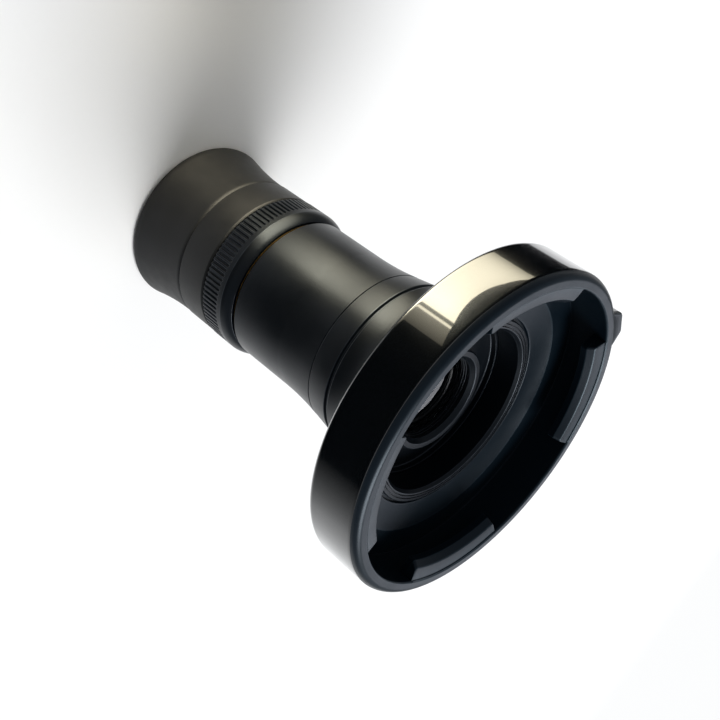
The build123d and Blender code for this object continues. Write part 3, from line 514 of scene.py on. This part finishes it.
def spun(name, section, material, node_names, body, closed=True):
    """A turned piece: the section at every angle of one round."""
    angle = np.linspace(0, 2 * np.pi, TURN_STEPS, endpoint=False)
    radius = np.broadcast_to(section[:, 0], (TURN_STEPS, len(section)))
    height = np.broadcast_to(section[:, 1], (TURN_STEPS, len(section)))
    return skin(name, radius, height, angle, section[:, 2], material, node_names, body, closed)


# %% [markdown]
# ## The rubber eyecup
# A soft trumpet, stretched over a beaded spigot on the collar. Rubber from a mould has no crisp edge, so
# its corners get rounds several times larger than those of the turned metal.

# %% Mould the eyecup
CUP_TOP = 15.0
CUP_SEAM = 16.85
CUP_FLARE = 18.35
SPIGOT = 15.55
SPIGOT_REAR = 9.5
BEAD_TOP = 11.6
BEAD_FOOT = 10.2
BEAD_BOW = 0.35
cup_section = eased([
    (17.45, 0.0, 0.0), *arc((17.45, 0.0), (CUP_FLARE, 0.9), 0.264), (CUP_FLARE, 0.9, 0.0),
    *arc((CUP_FLARE, 0.9), (CUP_SEAM, CUP_TOP - 0.2), -0.39), (CUP_SEAM, CUP_TOP - 0.2, 0.0),
    (CUP_SEAM - 0.2, CUP_TOP, 0.12), (SPIGOT, CUP_TOP), (SPIGOT, BEAD_TOP, 0.0),
    *arc((SPIGOT, BEAD_TOP), (SPIGOT, BEAD_FOOT), -BEAD_BOW), (SPIGOT, BEAD_FOOT, 0.0), (SPIGOT, SPIGOT_REAR),
    (13.4, SPIGOT_REAR, 0.25), (13.4, 8.7, 0.25), (14.3, 8.7, 0.5), (15.95, 0.9, 0.3),
    *arc((15.95, 0.9), (16.55, 0.0), 0.17, 5), (16.55, 0.0, 0.0),
])
spun("rubber_eyecup", cup_section, cup_rubber, ["eyecup"], "eyepiece")

# %% [markdown]
# ## The collar
# A short turned ring with a soft lacquer. Its two ends are what the eye sees, as the thin seam against the
# rubber and the dark gap against the knurled ring, so those edges keep the bevels of the CAD model.

# %% Turn the collar
COLLAR = 16.95
COLLAR_TOP = 22.9
collar_section = eased([
    (14.35, SPIGOT_REAR), (SPIGOT, SPIGOT_REAR), (SPIGOT, BEAD_FOOT, 0.0),
    *arc((SPIGOT, BEAD_FOOT), (SPIGOT, BEAD_TOP), BEAD_BOW), (SPIGOT, BEAD_TOP, 0.0), (SPIGOT, CUP_TOP),
    (COLLAR - 0.12, CUP_TOP, 0.04), (COLLAR, CUP_TOP + 0.12, 0.05),
    (COLLAR, COLLAR_TOP - 0.35, 0.12), (COLLAR - 0.35, COLLAR_TOP, 0.12), (14.4, COLLAR_TOP), (14.4, 16.6),
    (14.35, 16.6, 0.0),
])
spun("smooth_collar", collar_section, collar_lacquer, ["eye_collar"], "eyepiece")

# %% [markdown]
# ## The knurled ring
# Ninety-six straight grooves give the fingers their grip. On the real ring a cutter runs in from the rear
# edge and lifts out before the smooth land, so each groove ends in a round. An Array modifier would need
# one tooth modelled and bent into a circle. Here the ring is one sheet instead: its radius at an angle and
# a height is the smaller of the turned outline and the groove's floor, and the groove's depth depends on
# the distance to its centre line.

# %% Cut the knurling
RING = 17.05
RING_REAR = 23.15
RING_FRONT = 31.3
LAND_END = 29.0
KNURL_END = 27.3
KNURL_COUNT = 96
KNURL_DEPTH = 0.42
GROOVE_TOP = 0.78
GROOVE_FLOOR = 0.34
TEETH_STEPS = 12
ring_section = eased([
    (15.9, RING_REAR), (RING - 0.25, RING_REAR, 0.08), (RING, RING_REAR + 0.25, 0.08), (RING, 25.2, 0.0),
    *[(RING, z, 0.0) for z in np.linspace(26.9, 28.3, 15)],
    (RING, LAND_END, 0.35), *arc((RING, LAND_END), (15.8, RING_FRONT), 0.26), (15.8, RING_FRONT, 0.06),
    (15.2, RING_FRONT), (15.2, 24.4), (15.9, 24.4),
])
ring_angle = np.linspace(0, 2 * np.pi, KNURL_COUNT * TEETH_STEPS, endpoint=False)
pitch = 2 * np.pi / KNURL_COUNT
across = (ring_angle - pitch * np.round(ring_angle / pitch)) * RING
past_end = np.maximum(ring_section[:, 1] - KNURL_END, 0) * 0.55
off_centre = np.hypot(across[:, None], past_end[None, :])
share = np.clip((GROOVE_TOP / 2 - off_centre) / ((GROOVE_TOP - GROOVE_FLOOR) / 2), 0, 1)
groove = RING - KNURL_DEPTH * share * share * (3 - 2 * share)
groove = np.where(share > 0, groove, np.inf)
outline = np.broadcast_to(ring_section[:, 0], groove.shape)
ring_radius = np.where(outline > 16.2, np.minimum(outline, groove), outline)
ring_height = np.broadcast_to(ring_section[:, 1], groove.shape)
# The crests get a full edge weight, so the satin finish paints them lighter: partly wear, partly a painted highlight
# beside the dark grooves.
crest = np.clip(1 - np.abs(np.abs(across) - GROOVE_TOP / 2) / 0.1, 0, 1)[:, None] * (share < 0.2)
ring_edge = np.clip(ring_section[:, 2] + crest * (ring_section[:, 1] < 28.0), 0, 1)
skin("knurled_dioptre_ring", ring_radius, ring_height, ring_angle, ring_edge, satin_anodised,
     ["dioptre_ring"], "ring")
print("groove pitch in mm:", round(pitch * RING, 3))

# %% [markdown]
# ## The flared neck
# One turned piece takes the eyepiece from the narrow tube to the wide drum. A thin dark stripe, cut below
# the surface, marks the foot of the flare. The flare itself is hollow like a trumpet, so a light beside it
# runs into a narrow bright line, and the section has many points there to keep that line smooth.

# %% Turn the neck
NECK_SEAM = 56.2
NECK_SEAM_RADIUS = 16.85
STRIPE_REAR = 61.55
STRIPE_FRONT = 62.65
STRIPE = 17.75
STRIPE_FLOOR = 17.3
FLANGE = 24.0
FLANGE_FOOT = 75.9
REGISTER = 77.2
WELL = 17.35
WELL_FLOOR = 72.1
neck_section = eased([
    (15.05, NECK_SEAM), (NECK_SEAM_RADIUS - 0.12, NECK_SEAM, 0.04),
    (NECK_SEAM_RADIUS, NECK_SEAM + 0.12, 0.05), (STRIPE, STRIPE_REAR, 0.1), (STRIPE_FLOOR, STRIPE_REAR + 0.35, 0.06),
    (STRIPE_FLOOR, STRIPE_FRONT - 0.35, 0.06), (STRIPE + 0.2, STRIPE_FRONT, 0.12),
    *arc((STRIPE + 0.2, STRIPE_FRONT), (FLANGE, FLANGE_FOOT), -1.55, 30), (FLANGE, FLANGE_FOOT),
    (FLANGE, REGISTER), (19.15, REGISTER), (19.15, 73.4), (WELL, 73.4), (WELL, WELL_FLOOR, 0.2),
    (11.25, WELL_FLOOR), (11.25, 68.6), (13.6, 68.6), (13.6, 62.4), (15.05, 62.4),
])
spun("flared_neck", neck_section, satin_anodised, ["adapter_neck"], "housing")

# %% [markdown]
# ## The lock ring
# The ring that clamps the drum to the neck shows as a step between dish and well, with two fine grooves in
# its face. They are real grooves, two tenths of a millimetre wide, because a bump would vanish when the
# camera looks along the face.

# %% Turn the lock ring
LOCK_BORE = 17.9
LOCK_TOP = 79.3
LOCK_SEAT = 78.2
LOCK_SKIRT = 19.1
LOCK_FLANGE = 20.3
GROOVE_HALF = 0.11
GROOVE_DEEP = 0.3
lock_grooves = []
groove_floor = LOCK_TOP - GROOVE_DEEP
for offset in (1.6, 0.95):
    outer = LOCK_BORE + offset + GROOVE_HALF
    inner = LOCK_BORE + offset - GROOVE_HALF
    lock_grooves += [(outer, LOCK_TOP, 0.03), (outer, groove_floor, 0.02)]
    lock_grooves += [(inner, groove_floor, 0.02), (inner, LOCK_TOP, 0.03)]
lock_section = eased([
    (LOCK_BORE, 73.6), (LOCK_SKIRT, 73.6), (LOCK_SKIRT, LOCK_SEAT), (LOCK_FLANGE, LOCK_SEAT),
    (LOCK_FLANGE, LOCK_TOP - 0.2, 0.06), (LOCK_FLANGE - 0.2, LOCK_TOP, 0.06), *lock_grooves,
    (LOCK_BORE + 0.55, LOCK_TOP, 0.08), (LOCK_BORE, LOCK_TOP - 0.65, 0.1),
])
spun("clamping_lock_ring", lock_section, satin_anodised, ["lock_ring"], "housing")

# %% [markdown]
# ## The drum with its tabs and ear
# The wide drum holds the bayonet: four tabs stand inwards from its wall, and one ear stands out of its rim.
# Joining blocks to a tube with Boolean modifiers would leave ragged shading along the joints. As the drum
# is round but for those, it stays one sheet: every row of the section says how far in a tab may pull it and
# how far out the ear may push it, and two outlines, seen from above, say how much of that happens at each
# angle.

# %% Shape the drum
DRUM = 35.0
DRUM_BACK = 76.8
CAVITY = 32.0
FLOOR = 80.0
RIM_TOP = 89.0
RIM_OUTER = 33.5
DRUM_EDGE = 87.0
DISH = 26.5
DISH_INNER = 20.9
DISH_FOOT = 78.9
PLATE_HOLE = 19.2
TAB_INNER = 28.3
TAB_BACK = 85.6
TAB_CENTRES = np.radians(-26.0 + 90.0 * np.arange(4))
TAB_HALF = np.radians(47.0 / 2)
TAB_CORNER = 0.6
EAR_TIP = 37.2
EAR_BACK = 85.2
EAR_TOP = 88.6
EAR_HALF_TIP = np.radians(4.0)
EAR_HALF_ROOT = np.radians(8.5)
FAR_OUT = 99.0


def rows(points, tab=FAR_OUT, ear=-FAR_OUT):
    """Section rows of (radius, height, edge, tab, ear).

    tab is how far outside the tab's outline a row may still be pulled in, and ear how far inside the ear's
    outline it may be pushed out. The far values leave a row alone.
    """
    points = np.array([(*p, 0.0)[:3] for p in points])
    extra = np.broadcast_to((tab, ear), (len(points), 2))
    return np.hstack((points, extra))


def rim_radius(height):
    """The rounded rim's radius at a height: 1.5 mm of an ellipse's quarter over its 2 mm."""
    rise = np.clip((height - DRUM_EDGE) / (RIM_TOP - DRUM_EDGE), 0, 1)
    return RIM_OUTER + (DRUM - RIM_OUTER) * np.sqrt(np.maximum(1 - rise ** 2, 0))


def upright(radius, low, high, count, edge=0.0):
    """Rows up a wall, from low to high."""
    return [(radius, z, edge) for z in np.linspace(low, high, count)]


def rounded(corner, first, last, steps=4):
    """Rows round one corner, from a point on one leg to a point on the other, by the same curve as eased."""
    share = np.linspace(0, 1, steps)[:, None]
    first, corner, last = map(np.array, (first, corner, last))
    bend = (1 - share) ** 2 * first + 2 * share * (1 - share) * corner + share ** 2 * last
    return [(*p, 1.0) for p in bend]


rim_low = np.linspace(DRUM_EDGE, EAR_TOP - 0.4, 7)
rim_high = EAR_TOP + (RIM_TOP - EAR_TOP) * np.sin(np.linspace(0, np.pi / 2, 7))
# Rows with an edge of 1.0 mark the rounds of the rim, the ear and the tab corners, where the finish turns lighter:
# wear and painted highlight.
drum_rows = np.vstack((
    rows([(PLATE_HOLE, REGISTER), (24.05, REGISTER), (24.05, DRUM_BACK), (33.6, DRUM_BACK)]),
    rows([(33.8 + 1.2 * np.sin(a), DRUM_BACK + 1.2 - 1.2 * np.cos(a))
          for a in np.linspace(0, np.pi / 2, 9)]),
    rows(upright(DRUM, 78.2, EAR_BACK, 3)),
    rows([(DRUM, EAR_BACK)], ear=0.12),
    rows([(DRUM, EAR_BACK + 0.12, 1.0)], ear=0.0),
    rows([(rim_radius(z), z) for z in rim_low], ear=0.0),
    rows([(rim_radius(EAR_TOP - 0.3), EAR_TOP - 0.3, 1.0)], ear=0.03),
    rows([(rim_radius(EAR_TOP), EAR_TOP, 1.0)], ear=0.3),
    rows([(rim_radius(EAR_TOP), EAR_TOP)], ear=0.4),
    rows([(rim_radius(z), z) for z in rim_high]),
    rows([(RIM_OUTER - 0.05, RIM_TOP), (CAVITY + 0.36, RIM_TOP)]),
    rows(rounded((CAVITY + 0.25, RIM_TOP), (CAVITY + 0.32, RIM_TOP), (CAVITY + 0.2, RIM_TOP - 0.05), 3)),
    rows(rounded((CAVITY, RIM_TOP - 0.25), (CAVITY + 0.06, RIM_TOP - 0.19), (CAVITY, RIM_TOP - 0.33), 3),
         tab=3.6),
    rows([(CAVITY, 88.33)], tab=1.3),
    rows([(CAVITY, 88.28, 1.0)], tab=1.1),
    rows([(CAVITY, 88.16, 1.0)], tab=0.96),
    rows([(CAVITY, 88.06)], tab=0.88),
    rows([(CAVITY, 87.13)], tab=0.1),
    rows([(CAVITY, 87.04, 1.0)], tab=0.03),
    rows([(CAVITY, 86.93, 1.0)], tab=0.0),
    rows([(CAVITY, 86.8)], tab=0.0),
    rows([(CAVITY, 85.8)], tab=0.0),
    rows([(CAVITY, 85.7, 1.0)], tab=0.0),
    rows([(CAVITY, 85.62, 1.0)], tab=0.03),
    rows([(CAVITY, TAB_BACK)], tab=0.12),
    rows([(CAVITY, TAB_BACK), (CAVITY, 85.5), (CAVITY, 80.2), (CAVITY, 80.03)]),
    rows([(31.97, FLOOR), (31.8, FLOOR)]),
    rows([(DISH + 0.1, FLOOR)]),
    rows(rounded((DISH, FLOOR), (DISH + 0.06, FLOOR), (DISH - 0.06, FLOOR - 0.02), 3)),
    rows([(r, z) for r, z, _ in arc((DISH, FLOOR), (DISH_INNER, DISH_FOOT), -0.18)]),
    rows([(DISH_INNER + 0.06, DISH_FOOT), (DISH_INNER, DISH_FOOT - 0.06), (DISH_INNER, LOCK_SEAT)]),
    rows([(PLATE_HOLE, LOCK_SEAT)]),
))


def tab_outline(angle):
    """The tabs' inner outline from above: the inner radius within a tab, drawn back at its corners."""
    turn = np.abs((angle[:, None] - TAB_CENTRES[None, :] + np.pi) % (2 * np.pi) - np.pi).min(1)
    inward = (TAB_HALF - turn) * TAB_INNER
    short = np.clip(TAB_CORNER - inward, 0, TAB_CORNER)
    corner = TAB_CORNER - np.sqrt(TAB_CORNER ** 2 - short ** 2)
    return np.where(inward >= 0, TAB_INNER + corner, FAR_OUT)


def ear_outline(angle):
    """The ear's outer outline from above: a flat tip between two straight flanks, with rounded corners.

    A straight side through two points is met at radius cross(p, q) / cross(way of the ray, q - p). The tip
    and the flank meet in a smooth minimum, which takes off a quarter of h^2 times its width.
    """
    turn = np.abs((angle + np.pi) % (2 * np.pi) - np.pi)
    tip = EAR_TIP * np.cos(EAR_HALF_TIP) / np.cos(np.minimum(turn, 1.2))
    p = EAR_TIP * np.array((np.cos(EAR_HALF_TIP), np.sin(EAR_HALF_TIP)))
    q = (DRUM - 0.6) * np.array((np.cos(EAR_HALF_ROOT), np.sin(EAR_HALF_ROOT)))
    cross = p[0] * q[1] - p[1] * q[0]
    flank = cross / (np.cos(turn) * (q[1] - p[1]) - np.sin(turn) * (q[0] - p[0]))
    width = 0.5
    h = np.maximum(width - np.abs(tip - flank), 0) / width
    outline = np.minimum(tip, flank) - h * h * width / 4
    return np.where(turn < EAR_HALF_ROOT, outline, -FAR_OUT)


tab_ends = (TAB_CENTRES[:, None] + TAB_HALF * np.array((-1, 1))).reshape(-1)
corner_steps = TAB_CORNER / TAB_INNER * (1 - np.cos(np.linspace(0, np.pi / 2, 7)))
inside_ends = (tab_ends[:, None] - np.tile((-1, 1), 4)[:, None] * (corner_steps + 1e-7)).reshape(-1)
outside_ends = tab_ends + np.tile((-1, 1), 4) * 1e-7
drum_angle = np.unique(np.round(np.concatenate((
    np.radians(np.arange(0, 360, 1.5)), inside_ends % (2 * np.pi), outside_ends % (2 * np.pi),
    np.radians(np.linspace(-9, 9, 61)) % (2 * np.pi),
)), 9))
plain, drum_height, drum_edge, tab_reach, ear_reach = drum_rows.T
pulled = np.minimum(plain[None, :], tab_outline(drum_angle)[:, None] + tab_reach[None, :])
drum_radius = np.maximum(pulled, ear_outline(drum_angle)[:, None] - ear_reach[None, :])
drum_radius = np.where(ear_reach[None, :] > -1, drum_radius, pulled)
# Moved rows, the rim and the dish keep that weight, and the rim's top gets a quarter of it all over: a painted
# highlight that sets it lighter than the cavity.
moved = np.abs(drum_radius - plain[None, :]) > 1e-6
on_rim = (drum_height > RIM_TOP - 0.4) & (plain > CAVITY)
shown = moved | (drum_height > RIM_TOP - 0.4) | (plain < 30)
drum_edge = np.clip(drum_edge[None, :] * shown + 0.25 * on_rim, 0, 1)
drum_height = np.broadcast_to(drum_height, drum_radius.shape)
drum = skin("bayonet_drum", drum_radius, drum_height, drum_angle, drum_edge, gloss_anodised,
            ["bayonet_ring"], "housing")
drum.data.materials.append(cavity_anodised)
centres = np.empty(len(drum.data.polygons) * 3)
drum.data.polygons.foreach_get("center", centres)
centres = centres.reshape(-1, 3) * 1000
reach = np.hypot(centres[:, 0], centres[:, 1])
inside = (reach < CAVITY + 0.01) & (centres[:, 2] > DRUM_BACK) | (centres[:, 2] > DRUM_EDGE + 0.6)
drum.data.polygons.foreach_set("material_index", inside.astype(np.int32))
drum.data.update()
print("drum columns:", len(drum_angle), "rows:", len(drum_rows))

# %% [markdown]
# ## The nose and its glass
# Inside the well stands the nose of the front cell, with a sloping lip, a ribbed throat that traps stray
# light and the convex front lens. The two cemented lenses behave as one block of glass, so they are spun as
# one. Two touching surfaces in the same place would make the renderer guess which comes first, and the
# glass would look dirty.

# %% Turn the nose and polish the front glass
NOSE = 11.2
NOSE_TOP = 75.0
NOSE_LIP = 9.1
NOSE_LIP_TOP = 74.1
STOP = 9.4
STOP_HEIGHT = 71.7
GLASS = 10.2
ribs = []
for number in range(3):
    top = NOSE_LIP_TOP - 0.5 - 0.6 * number
    ribs += [(NOSE_LIP, top, 0.04), (NOSE_LIP + 0.3, top - 0.12, 0.02)]
    ribs += [(NOSE_LIP + 0.3, top - 0.36, 0.02), (NOSE_LIP, top - 0.48, 0.04)]
nose_section = eased([
    (10.25, 60.5), (12.9, 60.5), (12.9, 66.4), (13.5, 66.4), (13.5, 67.15), (12.6, 67.15), (12.6, 68.05),
    (13.5, 68.05), (13.5, 68.6), (NOSE, 68.6), (NOSE, NOSE_TOP - 0.3, 0.1), (NOSE - 0.3, NOSE_TOP, 0.1),
    (NOSE - 1.3, NOSE_TOP, 0.08), (NOSE_LIP, NOSE_LIP_TOP, 0.06), *ribs, (NOSE_LIP, STOP_HEIGHT + 0.3, 0.03),
    (STOP, STOP_HEIGHT, 0.02), (10.25, STOP_HEIGHT, 0.02),
])
spun("front_cell_nose", nose_section, satin_anodised, ["front_cell"], "housing")


def dome(vertex, curve, radius, count=24):
    """Rows of a lens face from rim to vertex: the height falls back by R - sqrt(R^2 - r^2), R the curve."""
    r = radius * np.cos(np.linspace(0, np.pi / 2, count))
    sag = np.sign(curve) * (abs(curve) - np.sqrt(curve ** 2 - r ** 2))
    return np.column_stack((r, vertex - sag, np.zeros(count)))


FRONT_VERTEX = 73.20
BLOCK = 8.8
front_face = dome(FRONT_VERTEX, 30.0, GLASS)
back_face = dome(FRONT_VERTEX - BLOCK, -80.0, GLASS)[::-1]
spun("front_doublet", np.vstack((back_face, front_face)), coated_glass, ["front_crown", "front_flint"],
     "housing", closed=False)

# %% [markdown]
# ## The eye doublet
# The last lens before the eye is cemented from two as well, and gets the same treatment.

# %% Polish the eye glass
eye_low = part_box("eye_flint")[0][2] * 1000
eye_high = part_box("eye_crown")[1][2] * 1000
eye_face = dome(eye_high, 26.0, 11.0)
eye_back = dome(eye_low, -60.0, 11.0)[::-1]
spun("eye_doublet", np.vstack((eye_back, eye_face)), coated_glass, ["eye_crown", "eye_flint"],
     "eyepiece", closed=False)

# %% [markdown]
# ## The view transform
# Blender's Standard view transform shows the linear light as plain sRGB.

bpy.context.scene.view_settings.view_transform = "Standard"
